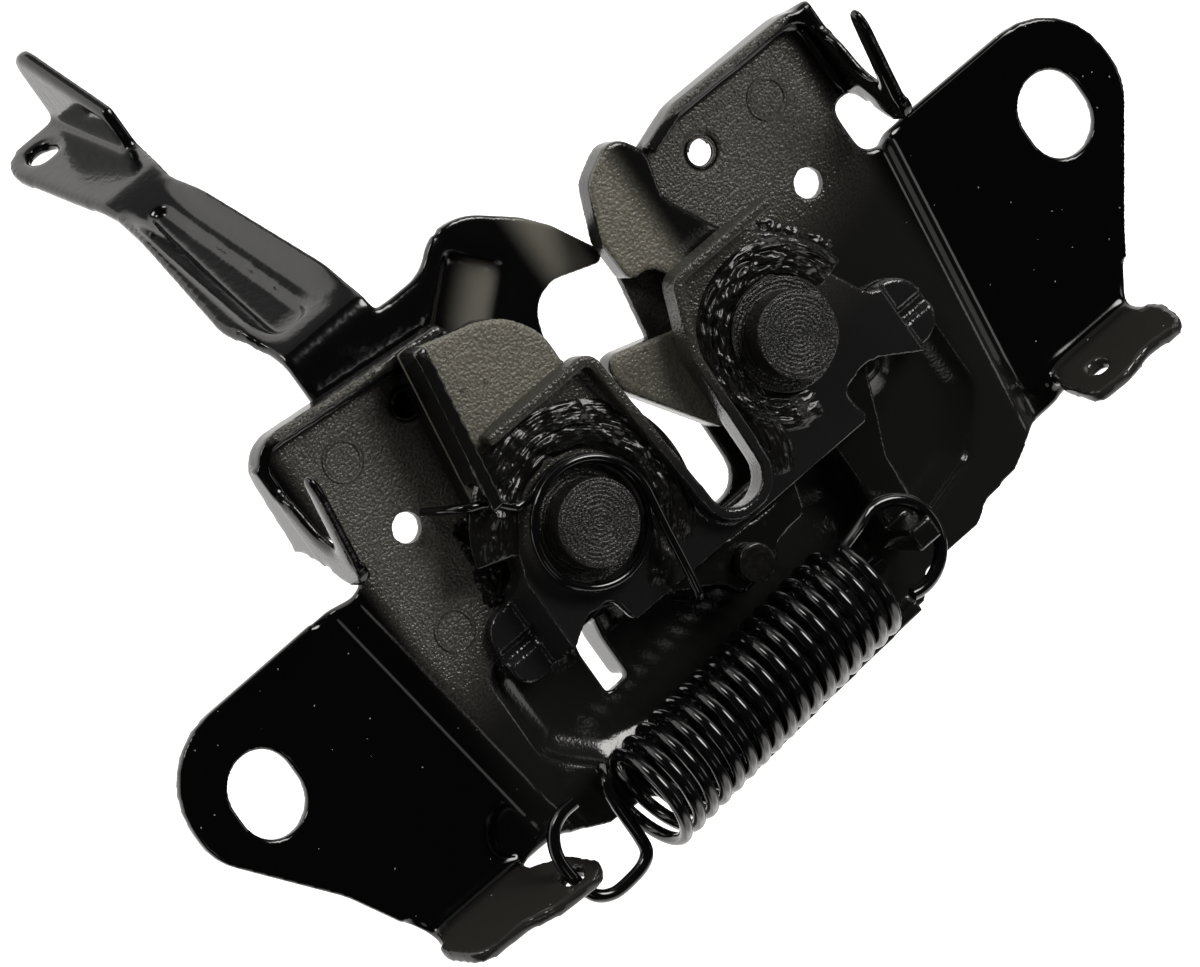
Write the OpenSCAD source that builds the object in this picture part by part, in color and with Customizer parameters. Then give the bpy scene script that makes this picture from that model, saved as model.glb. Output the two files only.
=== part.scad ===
// Bonnet latch: a stamped base with two ears, a forked catch and a pawl under a riveted
// front plate, a safety lever with a folded handle behind, and their springs.
// X runs along the line of the two mounting slots, Z is up towards the bonnet and the front faces -Y.
// The origin lies midway between the slots, on the face that meets the car body.

/* [Sheet metal] */
// Thickness of the base stamping
base_t = 1.8; // [1.4:0.1:2.4]
// How far the raised middle stands in front of the ears
joggle = 3; // [2.6:0.1:5]
// Length of the sloped step beside each ear
joggle_run = 3; // [2:0.5:5]
// Height of the rim folded forward round the raised middle
rim_h = 3; // [2:0.1:4]
// Depth of the drawn pocket in the lower middle
pocket_depth = 1.2; // [0.5:0.1:1.4]
// Thickness of the front plate
cover_t = 2; // [1.4:0.1:3]
// Height of the lip round the fishmouth of the front plate
lip_h = 2.6; // [1:0.1:4]
// Thickness of that lip
lip_t = 1.6; // [1:0.1:2.4]
// Thickness of the catch and the pawl
lever_t = 4; // [3:0.1:6]
// Thickness of the safety lever
safety_t = 2; // [1.6:0.1:3]

/* [Mounting ears] */
// Distance between the two mounting slots
slot_pitch = 150; // [142:1:170]
// Width of each mounting slot
slot_w = 10.2; // [6.6:0.1:12]
// Length of each mounting slot, up and down
slot_len = 12.6; // [12.4:0.1:16]
// Sheet left round each mounting slot
ear_wall = 5.5; // [5:0.1:9]
// Height of the upper edge of the ears
ear_top = 14; // [13:0.5:16]
// Depth of the fold under the left ear, below the slots
fold_left = 29.3; // [28.5:0.1:30]
// Depth of the fold under the right ear
fold_right = 26.5; // [26:0.1:28]
// Reach of the folded tabs under the ears
tab_depth = 15; // [14.5:0.1:17]
// How far the folded tabs droop below square
tab_droop = 21; // [15:1:24]

/* [Raised middle] */
// Half the width of the raised middle, over its side flanges
mid_half_w = 52; // [51.5:0.1:54]
// Half the width of the raised middle where it steps down to the ears
step_x = 50; // [49:0.1:51]
// Height of the upper left corner of the middle
mid_top_left = 39.9; // [38.5:0.1:42]
// Height of the upper right corner of the middle
mid_top_right = 37.5; // [36.5:0.1:40]
// Depth of the middle's lower edge below the slots
mid_bottom = 41.5; // [39:0.5:46]
// Diameter of the two tapped holes
tapped_d = 4.2; // [3.3:0.1:5]
// Distance between the two tapped holes
tapped_pitch = 55.6; // [54:0.1:60]
// Height of the tapped holes
tapped_z = 29.5; // [28:0.1:31]
// Diameter of the two small plain holes
plain_d = 4.2; // [3:0.1:5]
// Distance between the two plain holes
plain_pitch = 76; // [75:0.5:80]
// Height of the plain holes
plain_z = 16.4; // [15:0.1:18]

/* [Fishmouth] */
// Middle line of the fishmouth
mouth_x = 1; // [0.5:0.1:1.5]
// Width of the fishmouth at its foot
mouth_w = 8.2; // [7:0.1:9]
// Depth of its foot below the slots
mouth_foot = 9.5; // [8:0.1:10]

/* [Pivots] */
// Distance of each pivot from the middle
pivot_x = 19.5; // [19:0.1:20.5]
// Height of the catch pivot
catch_z = 4.6; // [4:0.1:5.2]
// Height of the pawl pivot
pawl_z = 2.8; // [2.2:0.1:3.4]
// Diameter of the rivet shanks
shank_d = 8; // [6:0.1:9]
// Diameter of the rivet heads
head_d = 12.3; // [11:0.1:14]
// Height of the rivet heads
head_h = 4.4; // [2:0.1:6]
// Thickness of the shims beside the levers
shim_t = 0.5; // [0.3:0.1:0.8]
// Outer diameter of the shims
shim_d = 16; // [12:0.5:17]

/* [Catch and pawl] */
// Angle the catch turns from open to latched
catch_swing = 28; // [24:1:30]
// Angle the pawl turns from riding on the catch to home
pawl_drop = 5.5; // [5.5:0.1:6.5]
// Radius of the catch's hub where the pawl drops in
notch_r = 12.3; // [11.5:0.1:12.4]
// Radius of the catch's locking tooth
tooth_r = 15.5; // [14.5:0.1:15.6]
// Direction of the tooth's locking face, when open
tooth_angle = 214; // [213.5:0.5:215]

// Thickness of the strip folded forward along the pawl's upper arm
pawl_fold_t = 2; // [1.4:0.1:2.4]
// How far that strip stands in front of the pawl
pawl_fold_h = 5.8; // [5.6:0.1:7]

/* [Safety lever] */
// Distance behind the mounting face of the top of the ramp
ramp_reach = 37; // [34:0.5:40]
// Height of the top of the ramp
ramp_rise = 67.3; // [64:0.1:70]
// Distance behind the mounting face of the end of the handle
handle_reach = 62; // [58:0.5:70]
// Height of the end of the handle
handle_rise = 75.6; // [72:0.1:80]
// Height of the finger paddle above the end of the handle
paddle_h = 10.8; // [8:0.1:14]
// Depth of the groove pressed into the ramp
groove_depth = 1.1; // [0.6:0.1:1.4]

/* [Springs] */
// Wire of the main spring
main_wire = 1.9; // [1.4:0.1:2.1]
// Outer diameter of the main spring
main_od = 16; // [13:0.5:16.5]
// Turns of the main spring
main_turns = 17; // [10:1:19]
// Wire of the two torsion springs
twist_wire = 1.3; // [0.8:0.1:1.5]

/* [Fits] */
// Clearance of the levers round the rivets
run_gap = 0.05; // [0.02:0.01:0.1]
// Clearance of the rivets and shims in what they are pressed into
seat_gap = 0.04; // [0.01:0.01:0.1]
// Side play between a lever and its shim
side_gap = 0.05; // [0.02:0.01:0.2]
// Room left round a spring wire
wire_gap = 0.15; // [0.1:0.05:0.4]

/* [Hidden] */
$fn = 64;

// Faces along the depth, from the mounting face forward
mid_rear = -joggle;
mid_front = mid_rear - base_t;
lever_rear = mid_front - shim_t - side_gap;
lever_front = lever_rear - lever_t;
cover_rear = lever_front - side_gap - shim_t;
rim_front = mid_front - rim_h;
cover_front = cover_rear - cover_t;
safety_front = mid_rear + shim_t + side_gap;
safety_rear = safety_front + safety_t;
collar_rear = safety_rear + side_gap + shim_t + 2 * twist_wire + 2 * wire_gap;
spring_y = cover_front - 1;

catch_c = [pivot_x, catch_z];
pawl_c = [-pivot_x, pawl_z];
slot_x = slot_pitch / 2;
ear_r = slot_w / 2 + ear_wall + 1;
ear_end = slot_x + ear_r;
mouth_r = mouth_w / 2 - 0.1;
mouth_left = mouth_x - mouth_w / 2;
mouth_right = mouth_x + mouth_w / 2;
cover_top = 21.5;
cover_foot = mouth_foot + lip_t + 1.2;

function unit(v) = v / norm(v);
function flat(p) = [p[0], p[1]];
function polar(c, r, a) = c + r * [cos(a), sin(a)];
function turned(p, c, a) = c + [
    (p[0] - c[0]) * cos(a) - (p[1] - c[1]) * sin(a),
    (p[0] - c[0]) * sin(a) + (p[1] - c[1]) * cos(a)];
function rounded(p, r) = [p[0], p[1], r];
function reversed(p) = [for (i = [len(p) - 1:-1:0]) p[i]];
function flipped(p) = [for (q = reversed(p)) [-q[0], q[1], q[2]]];

// One corner of an outline, drawn as an arc of radius r that touches both of its sides
function corner(a, b, c, r, n = 6) =
    let (u = unit(flat(a) - flat(b)),
         w = unit(flat(c) - flat(b)),
         half = acos(u * w) / 2,
         mid = flat(b) + unit(u + w) * r / sin(half),
         p = flat(b) + u * r / tan(half) - mid,
         q = flat(b) + w * r / tan(half) - mid,
         start = atan2(p[1], p[0]),
         turn = (atan2(q[1], q[0]) - start + 540) % 360 - 180)
    [for (i = [0:n]) polar(mid, r, start + turn * i / n)];

// A closed outline from corners given as [x, z, radius]
function outline(p) = let (n = len(p))
    [for (i = [0:n - 1])
        each p[i][2] > 0 ? corner(p[(i + n - 1) % n], p[i], p[(i + 1) % n], p[i][2]) : [flat(p[i])]];

// An open run of corners, its two ends square
function run_of(p) = let (n = len(p))
    [for (i = [0:n - 1])
        each i > 0 && i < n - 1 && p[i][2] > 0 ? corner(p[i - 1], p[i], p[i + 1], p[i][2]) : [flat(p[i])]];

function left_of(a, b) = let (d = unit(flat(b) - flat(a))) [-d[1], d[0]];

// The same run moved sideways by t, to its left, with its arcs kept parallel
function beside(p, t) = let (n = len(p))
    [for (i = [0:n - 1])
        let (before = left_of(p[max(i - 1, 0)], p[max(i, 1)]),
             after = left_of(p[min(i, n - 2)], p[min(i + 1, n - 1)]),
             bends_left = before[0] * after[1] - before[1] * after[0] > 0,
             q = flat(p[i]) + (before + after) / (1 + before * after) * t)
        rounded(q, p[i][2] > 0 ? max(p[i][2] + (bends_left ? -t : t), 0.05) : 0)];

function band(p, t) = concat(run_of(p), reversed(run_of(beside(p, t))));

// A flat blank standing in the X and Z directions, its back face at the given depth
module blank(points, rear, t) {
    translate([0, rear, 0])
        rotate([90, 0, 0])
            linear_extrude(t)
                polygon(points);
}

// A round bar or bore along the depth, from its rear end forward
module round_bar(c, d, rear, front) {
    translate([c[0], rear, c[1]])
        rotate([90, 0, 0])
            cylinder(d = d, h = rear - front);
}

// A flat blank standing in the Y and Z directions
module side_blank(points, x, t) {
    translate([x, 0, 0])
        rotate([90, 0, 90])
            linear_extrude(t)
                polygon(points);
}

module shim(c, rear) {
    difference() {
        round_bar(c, shim_d, rear, rear - shim_t);
        round_bar(c, shank_d + 2 * seat_gap, rear + 1, rear - shim_t - 1);
    }
}

// Rings of points swept along a wire's path, each kept square to it
function tangent(p, i) = unit(p[min(i + 1, len(p) - 1)] - p[max(i - 1, 0)]);
function squared(v, t) = unit(v - (v * t) * t);
function wire_rings(p, d, sides, first) =
    let (side_dirs = [for (i = 0, s = squared(first, tangent(p, 0)); i < len(p);
            i = i + 1, s = i < len(p) ? squared(s, tangent(p, i)) : s) s])
    [for (i = [0:len(p) - 1])
        let (t = tangent(p, i), s = side_dirs[i], b = cross(t, s))
        for (k = [0:sides - 1]) p[i] + d / 2 * (cos(360 * k / sides) * s + sin(360 * k / sides) * b)];

module wire(p, d, first, sides = 6) {
    last = (len(p) - 1) * sides;
    polyhedron(
        points = wire_rings(p, d, sides, first),
        faces = concat(
            [[for (k = [0:sides - 1]) k]],
            [[for (k = [sides - 1:-1:0]) last + k]],
            [for (i = [0:len(p) - 2]) for (k = [0:sides - 1]) let (j = (k + 1) % sides)
                each [[i * sides + k, (i + 1) * sides + k, (i + 1) * sides + j],
                      [i * sides + k, (i + 1) * sides + j, i * sides + j]]]));
}

// Outline of the whole base blank, from the left of the fishmouth round to its right
notch_x = step_x - 2.8;
flange_foot = 22.4;
foot_lift = 2.2;
lower_edge = [
    [-50.5, -31.4, 2],
    [-43, -31.6, 3],
    [-39, -33.6, 2],
    [-32, 7 - mid_bottom, 1.5],
    [-30.3, 5.5 - mid_bottom, 1.5]];
function ear_edge(fold) = concat(
    [[-mid_half_w, flange_foot, 0.5], [-notch_x, flange_foot, 1.8], [-notch_x, ear_top, 2.5],
     [-ear_end, ear_top - 0.3, ear_r], [-ear_end, -2.4, ear_r - 2], [0.8 - slot_x, -18.3, 18],
     [7.4 - slot_x, -fold - 1.2, 1]],
    lower_edge);
base_edge = concat(
    [[-14, 27, 3], [-18, 35.8, 2], [-mid_half_w, mid_top_left, 5]],
    ear_edge(fold_left),
    [[-27, -mid_bottom, 1.5], [17, foot_lift - mid_bottom, 1.5], [19.5, 5.3 - mid_bottom, 1.5]],
    flipped(ear_edge(fold_right)),
    [[mid_half_w, mid_top_right, 5], [27.4, 38, 4], [19.5, 35.6, 2], [8.7, 29.4, 3],
     [mouth_right + 0.7, 13.9, 5], [mouth_right, -mouth_foot, mouth_r],
     [mouth_left, -mouth_foot, mouth_r], [-6, 21, 3]]);
left_rim = [[-18.5, 35.87, 0], [-mid_half_w, mid_top_left, 5], [-mid_half_w, 30, 0]];
right_rim = [[mid_half_w, 30, 0], [mid_half_w, mid_top_right, 5], [27.4, 38, 4], [20.5, 35.9, 0]];

// Half of the sheet's section: the ear, the sloped step and the raised middle
module half_sheet() {
    lean = tan(atan2(joggle, joggle_run) / 2) * base_t;
    mid_reach = 70;
    ear_reach = 60;
    inward_slope = 8.2;
    translate([step_x, 0, ear_top])
        rotate([0, inward_slope, 0])
            linear_extrude(200, center = true)
                polygon([[-mid_reach, mid_front], [0, mid_front], [joggle_run, -base_t], [ear_reach, -base_t],
                    [ear_reach, 0], [joggle_run - lean, 0], [-lean, mid_rear], [-mid_reach, mid_rear]]);
}

// The pocket drawn backward in the lower middle; grow makes room for the sheet round it
function pocket(grow) =
    let (side = [[23, -30.5 - grow, 2], [34 + grow / 2, -28 - grow, 3], [41 + grow, -20.5 - grow / 2, 3],
            [41 + grow, -6 + grow / 2, 3], [34, -6 + grow / 2, 2], [30.5, -10.3 + grow / 2, 2]])
    outline(concat(side, flipped(side)));

window = [-27.3, -20.4, 3.8, 9.8];

// The tabs folded forward under the ears, drawn flat from the fold line
left_tab = [[-67.4, 1, 0], [-69.6, -5, 3], [-67.5, 3.5 - tab_depth, 4], [-60, 3 - tab_depth, 3],
    [-55.5, 0.8 - tab_depth, 3], [-48, -tab_depth, 3], [-46.2, 2.6 - tab_depth, 1.5], [-47.5, -7, 2],
    [-51, -4, 2], [-52, 1, 0]];
right_tab = [[51.5, 1, 0], [51, -5, 3], [51.5, 3 - tab_depth, 2.5], [57, 2.7 - tab_depth, 3],
    [62, 4 - tab_depth, 3], [68.8, 3 - tab_depth, 2.5], [69.8, -6, 3], [67.2, 1, 0]];

module ear_tab(points, fold) {
    translate([0, -base_t / 2, -fold - base_t])
        rotate([tab_droop, 0, 0])
            linear_extrude(base_t)
                polygon(outline(points));
}

// A side flange with its cable hook: a finger that leans forward, and a slot behind it
module cable_hook(x) {
    root = mid_front + 0.5;
    edge = [[root, 37, 0], [mid_front - rim_h, 37, 1], [mid_front - rim_h, 32.5, 1],
        [mid_front - 5.2, 30.5, 2], [mid_front - 6.4, 25.5, 2], [mid_front - 9, 23, 1],
        [mid_front - 10.6, 25, 1.5],
        [mid_front - 15, 35.6, 1], [mid_front - 17.2, 35.6, 1.2], [mid_front - 17.6, 33, 2],
        [mid_front - 12, 17.6, 1.5], [mid_front - 7.2, 17.4, 3], [mid_front - 1.8, flange_foot - 0.6, 3],
        [root, flange_foot - 0.2, 0]];
    side_blank(outline(edge), x, base_t);
}

module slot_cut(x) {
    straight = slot_len - slot_w;
    translate([x, 1, 0])
        rotate([90, 0, 0])
            linear_extrude(base_t + 2) {
                translate([0, straight / 2])
                    circle(d = slot_w);
                translate([0, -straight / 2])
                    circle(d = slot_w);
                square([slot_w, straight], center = true);
            }
}

// Where the main spring's loops lie; the base's anchor and the catch's tab take their places from them
main_r = (main_od - main_wire) / 2;
loop_r = main_r - 0.4;
coil_start = [-37, -32.1];
coil_end = [7.5, -29];
coil_len = norm(coil_end - coil_start);
coil_dir = unit(coil_end - coil_start);
coil_up = [-coil_dir[1], coil_dir[0]];
hook_step = loop_r + 0.6;
anchor_step = 2 * main_r - 0.7;
anchor_back = 1.1;
anchor_x = coil_start[0] - anchor_step * coil_dir[0];
hook_x = coil_end[0] + (hook_step + loop_r) * coil_dir[0];

module base_plate() {
    color("#1b1a18") {
        difference() {
            union() {
                intersection() {
                    blank(outline(base_edge), 1, 30);
                    union() {
                        half_sheet();
                        mirror([1, 0, 0])
                            half_sheet();
                    }
                }
                blank(band(left_rim, base_t), mid_front + 0.5, rim_h + 0.5);
                blank(band(right_rim, base_t), mid_front + 0.5, rim_h + 0.5);
                blank(pocket(base_t * 0.7), mid_rear + pocket_depth, pocket_depth + 0.5);
                ear_tab(left_tab, fold_left);
                ear_tab(right_tab, fold_right);
                cable_hook(-mid_half_w);
                cable_hook(mid_half_w - base_t);
                // A stop tab lanced from the window and folded back
                translate([window[0] + window[2], mid_rear + pocket_depth - 0.5, window[1]])
                    cube([base_t, 5, window[3]]);
                // A stiffening flange along the lower edge
                blank([[-25, 0.1 - mid_bottom], [15, foot_lift - mid_bottom],
                    [15, foot_lift - mid_bottom + base_t], [-25, base_t - mid_bottom]], mid_front + 0.5, 3);
            }
            blank(pocket(0), mid_front + pocket_depth, pocket_depth + 1);
            translate([window[0], mid_front, window[1]])
                cube([window[2], 2 * base_t + joggle, window[3]]);
            slot_cut(-slot_x);
            slot_cut(slot_x);
            for (c = [catch_c, pawl_c])
                round_bar(c, shank_d + 2 * seat_gap, 2, mid_front - 1);
            for (x = [-tapped_pitch / 2, tapped_pitch / 2]) {
                round_bar([x, tapped_z], tapped_d, 2, mid_front - 1);
                translate([x, mid_front - 0.01, tapped_z])
                    rotate([-90, 0, 0])
                        cylinder(d1 = tapped_d + 2, d2 = tapped_d, h = 0.7);
            }
            for (x = [-plain_pitch / 2, plain_pitch / 2])
                round_bar([x, plain_z], plain_d, 2, mid_front - 1);
            // Shallow ring marks pressed into the front face
            for (c = [[-40, 29.3], [40, 29.3], [-41, 1.2]])
                difference() {
                    round_bar(c, 5.6, mid_front + 0.2, mid_front - 1);
                    round_bar(c, 4.8, mid_front + 0.3, mid_front - 2);
                }
            // The spring's anchor hole and the spare hole of the other tab
            translate([anchor_x, spring_y + anchor_back, -fold_left - 12])
                cylinder(d = main_wire + 1.4, h = 12);
            translate([slot_x - 19, -8, -fold_right - 10])
                cylinder(d = 3, h = 9);
        }
    }
}

// Edge of the front plate's fishmouth, from its left end round to its right end
mouth_edge = [[-25, cover_top, 0], [-5.5, cover_top, 2.5], [mouth_left, -mouth_foot, mouth_r],
    [mouth_right, -mouth_foot, mouth_r], [mouth_right + 0.5, 11, 6], [10, cover_top, 2.5],
    [28.3, cover_top, 0]];
left_foot = [33, 38.5];
right_foot = [37, 42];
foot_half = 5.8;
foot_z = -6;
cover_edge = concat(
    [[-22.5, cover_top, 2]],
    [for (i = [1:len(mouth_edge) - 2]) mouth_edge[i]],
    [[22.5, cover_top, 2], [26, 15.5, 3], [29.3, 9, 3], [33, 1.5, 3],
     [right_foot[1] - 6, foot_z + foot_half, 1], [right_foot[1], foot_z + foot_half, foot_half - 0.4],
     [right_foot[1], foot_z - foot_half, foot_half - 1.8], [right_foot[0] - 1.5, foot_z - 4.6, 2],
     [29.2, foot_z - 0.8, 3], [26.4, foot_z, 3], [22.2, foot_z - 1.4, 1],
     [23, -cover_foot, 1], [-21.6, -cover_foot, 0.8],
     [-22.6, foot_z - 2, 1.5], [-27, foot_z - 1.4, 3], [-left_foot[0] - 0.5, foot_z - foot_half + 0.4, 1.5],
     [-left_foot[1], foot_z - foot_half + 0.4, 3], [-left_foot[1], foot_z + foot_half, 4],
     [-left_foot[0], foot_z + foot_half, 1], [-30.6, 3, 3], [-28.6, 9, 3], [-26, 15.5, 3]]);

// Half of the front plate's section, which steps down to its foot on the base
module half_cover(foot_in) {
    drop = mid_front - cover_t - cover_front;
    step = 2;
    lean = tan(atan2(drop, step) / 2) * cover_t;
    reach = 30;
    inner = step - foot_in - 1;
    translate([foot_in - step, 0, 0])
        linear_extrude(100, center = true)
            polygon([[inner, cover_front], [0, cover_front], [step, mid_front - cover_t],
                [reach, mid_front - cover_t], [reach, mid_front], [step - lean, mid_front],
                [-lean, cover_rear], [inner, cover_rear]]);
}

module front_plate() {
    crease_r = 1.4;
    color("#141413")
        difference() {
            union() {
                intersection() {
                    blank(outline(cover_edge), 0, 40);
                    union() {
                        half_cover(right_foot[0]);
                        mirror([1, 0, 0])
                            half_cover(left_foot[0]);
                    }
                }
                blank(band(mouth_edge, -lip_t), cover_front + 0.5, lip_h + 0.5);
            }
            for (c = [catch_c, pawl_c])
                round_bar(c, shank_d + 2 * seat_gap, 0, cover_front - 1);
            // A crease pressed along each foot
            for (x = [-left_foot[1] - 2, right_foot[0] - 3])
                translate([x, mid_front - cover_t - crease_r * 0.4, foot_z])
                    rotate([0, 90, 0])
                        cylinder(r = crease_r, h = 8);
        }
}

// The catch's tab that holds the spring's end loop
tab_half = 2;
tab_sag = loop_r - sqrt(loop_r * loop_r - tab_half * tab_half);
tab_r = hook_x - main_wire / 2 - wire_gap - tab_sag;
tab_l = tab_r - 4;
spring_tab_z = coil_end[1] + (hook_x - coil_end[0]) * coil_dir[1] / coil_dir[0];

catch_edge = concat(
    [[6.8, 23.3, 1.5], [6.6, 30, 4], [10, 37.8, 4], [16.5, 41, 3.2], [19.6, 36, 3], [17.8, 29.5, 3],
     [22, 21, 4], [31, 13, 9], [31, -3.5, 8], [27.3, -8.5, 3], [25.3, -13.5, 3], [22.8, -19, 3],
     [22.6, -24, 3],
     [tab_r + 1, spring_tab_z - tab_half, 1.2], [tab_l, spring_tab_z - tab_half, 1.2], [17.2, -18, 3]],
    [rounded(polar(catch_c, notch_r, 258), 0.6), rounded(polar(catch_c, notch_r, 245), 0),
     rounded(polar(catch_c, notch_r, tooth_angle + 17), 0.6),
     rounded(polar(catch_c, tooth_r, tooth_angle + 16), 0.6),
     rounded(polar(catch_c, tooth_r, tooth_angle + 8), 0),
     rounded(polar(catch_c, tooth_r, tooth_angle), 0.3), rounded(polar(catch_c, notch_r, tooth_angle), 0.5),
     rounded(polar(catch_c, notch_r, tooth_angle - 11), 0.5)],
    [[5.6, -0.6, 1], [-3.2, 12.6, 1.6], [-2.6, 17.7, 1.8], [3.4, 15.9, 4], [10.5, 13.6, 4], [13, 18.5, 3],
     [10.5, 23.2, 3]]);

module catch_lever() {
    color("#211f1c")
        difference() {
            union() {
                blank(outline(catch_edge), lever_rear, lever_t);
                translate([tab_l, spring_y - 4, spring_tab_z - tab_half])
                    cube([4, lever_rear - spring_y + 4, 2 * tab_half - 0.6]);
            }
            round_bar(catch_c, shank_d + 2 * run_gap, lever_rear + 1, lever_front - 1);
        }
}

// The pawl's nose, where it lies when home in the catch's notch, then turned back to ride on the tooth
nose_face = tooth_angle + catch_swing - 1;
nose_width = 9.2;
function nose(r, a) = turned(polar(catch_c, r, a), pawl_c, -pawl_drop);
stud_c = [-2.5, -17.4];
stud_d = 5.5;

nose_gap = 0.6;
pawl_top = [-26.6, 36.8];
pawl_side = [-30.4, 12.5];
pawl_edge = concat(
    [rounded(pawl_top, 1), [-11.5, 32.3, 11], [-7.5, 26, 9.5], [-7.7, 20.7, 4], [-8.4, 4, 3], [-8.6, -7, 5],
     [-3.5, -12.6, 2], [6, -13.3, 3]],
    [rounded(nose(notch_r + 4.5, nose_face - nose_width), 1),
     rounded(nose(notch_r + nose_gap, nose_face - nose_width), 0.4),
     rounded(nose(notch_r + nose_gap, nose_face), 0.4), rounded(nose(notch_r + 5, nose_face), 0.4)],
    [[8.5, -17.3, 1.5], [2.5, -17.8, 1.5], [1, -20.3, 2], [-6, -20.3, 2], [-7.5, -17.2, 2], [-15, -13.2, 4],
     [-28, -6.5, 7], [-28.4, 6, 4], rounded(pawl_side, 1)]);

// The strip folded forward along the pawl's upper arm; its tongue hangs down in front of the spring's leg
module pawl_fold() {
    front = lever_front - pawl_fold_h;
    tongue = 1.6;
    tongue_z = pawl_side[1] + 0.3;
    notch_z = pawl_side[1] + 4.7;
    intersection() {
        blank([pawl_top, pawl_side, pawl_side + [pawl_fold_t, 0], pawl_top + [pawl_fold_t, 0]],
            lever_rear, 20);
        side_blank(outline([[lever_rear, 40, 0], [front, 40, 5], [front, tongue_z, 0.6],
            [front + tongue, tongue_z, 0.3], [front + tongue, notch_z, 0.5], [lever_rear, notch_z, 0]]),
            -40, 30);
    }
}

module pawl_lever() {
    color("#211f1c")
        difference() {
            union() {
                blank(outline(pawl_edge), lever_rear, lever_t);
                pawl_fold();
            }
            // Relief that lets the upper end pass in front of the base's rim
            blank([[-40, 34.6], [0, 32.2], [0, 45], [-40, 45]], lever_rear + 1,
                lever_rear + 1 - rim_front + 0.35);
            round_bar(pawl_c, shank_d + 2 * run_gap, lever_rear + 1, lever_front - 1);
            round_bar(stud_c, stud_d * 0.6 + 2 * seat_gap, lever_rear + 1, lever_front - 1);
        }
}

module pawl_stud() {
    head = 2.6;
    color("#151515") {
        round_bar(stud_c, stud_d * 0.6, lever_rear, lever_front);
        round_bar(stud_c, stud_d, lever_front, lever_front - head);
    }
}

// The safety lever: hook and hub in one plane, then a ramp and a handle folded back over the top
fold_z = 44.5;
safety_edge = [[-4.9, 44.1, 9], [1.9, 38.4, 8], [4.8, 34.8, 4], [8.8, 27.4, 0.8], [7.4, 26.3, 0.4],
    [0.6, 28.7, 4], [-3.6, 28, 4.5], [-5.5, 23, 3], [-10.6, 8, 3], [-10.6, -6.2, 8], [-28.4, -6.2, 8],
    [-29.5, 10, 5], [-37.7, 36, 4], [-37.7, fold_z - 3, 0], [-22.8, fold_z - 3, 0], [-20.3, 41.4, 2],
    [-14.2, 41.3, 5.6], [-10.5, 44.6, 5.6]];
ramp_top = [ramp_reach, ramp_rise];
handle_end = [handle_reach, handle_rise];
handle_right = -20.4;
handle_plan = [[-37.7, -5, 0], [-22.8, -5, 0], [-22.6, ramp_reach - 3, 6], [handle_right, ramp_reach + 6, 4],
    [handle_right, handle_reach - 0.5, 3], [-33.2, handle_reach - 0.5, 5], [-32.9, ramp_reach + 8, 5],
    [-32.4, ramp_reach - 2, 6], [-39.6, 7.4, 3], [-37.7, 1, 2]];

// The tapered groove of the ramp, drawn in the ramp's own plane; deep is how far below its upper face
module ramp_groove(deep, grow, t) {
    ramp_tilt = atan2(ramp_rise - fold_z, ramp_reach - safety_front);
    ramp_len = norm([ramp_rise - fold_z, ramp_reach - safety_front]);
    foot = 5;
    top = ramp_len - 7;
    translate([0, safety_front, fold_z])
        rotate([ramp_tilt, 0, 0])
            translate([0, 0, -deep])
                linear_extrude(t)
                    polygon(outline([[-29 + grow, foot - grow, 2], [-27 + grow, top + grow, 1.2],
                        [-29.6 - grow, top + grow, 1.2], [-35.2 - grow, foot - grow, 2]]));
}

module safety_lever() {
    profile = [[safety_front, fold_z - 6, 0], [safety_front, fold_z, 4], rounded(ramp_top, 4),
        rounded(handle_end, 0)];
    hole_y = 56.5;
    handle_tilt = atan2(handle_end[1] - ramp_top[1], handle_end[0] - ramp_top[0]);
    handle_hole_d = 4.5;
    color("#191919")
        difference() {
            union() {
                blank(outline(safety_edge), safety_rear, safety_t);
                intersection() {
                    side_blank(band(profile, -safety_t), -45, 40);
                    linear_extrude(100)
                        polygon(outline(handle_plan));
                }
                side_blank(outline([[handle_reach - 19, handle_rise - 6.6, 0],
                    [handle_reach - 19, handle_rise, 2],
                    [handle_reach - 4, handle_rise + paddle_h, 2.5],
                    [handle_reach - 0.5, handle_rise + paddle_h - 1.4, 2],
                    [handle_reach - 0.5, handle_rise - 1, 0]]), handle_right - safety_t, safety_t);
                ramp_groove(groove_depth + safety_t, 0.8, safety_t);
            }
            ramp_groove(groove_depth, 0, 5);
            round_bar(pawl_c, shank_d + 2 * run_gap, safety_rear + 1, safety_front - 1);
            translate([-28, hole_y, ramp_top[1] + (hole_y - ramp_top[0]) * tan(handle_tilt)])
                rotate([handle_tilt, 0, 0])
                    cylinder(d = handle_hole_d, h = 8, center = true);
        }
}

module catch_rivet() {
    color("#171717") {
        round_bar(catch_c, shank_d, mid_rear, cover_front - shim_t);
        round_bar(catch_c, head_d, cover_front - shim_t, cover_front - shim_t - head_h);
        round_bar(catch_c, head_d, mid_rear + 1.6, mid_rear);
    }
}

module pawl_rivet() {
    front = cover_front - shim_t;
    color("#171717") {
        round_bar(pawl_c, shank_d, collar_rear, front);
        round_bar(pawl_c, head_d, front, front - head_h);
        round_bar(pawl_c, head_d, collar_rear + 1.6, collar_rear);
    }
}

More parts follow.
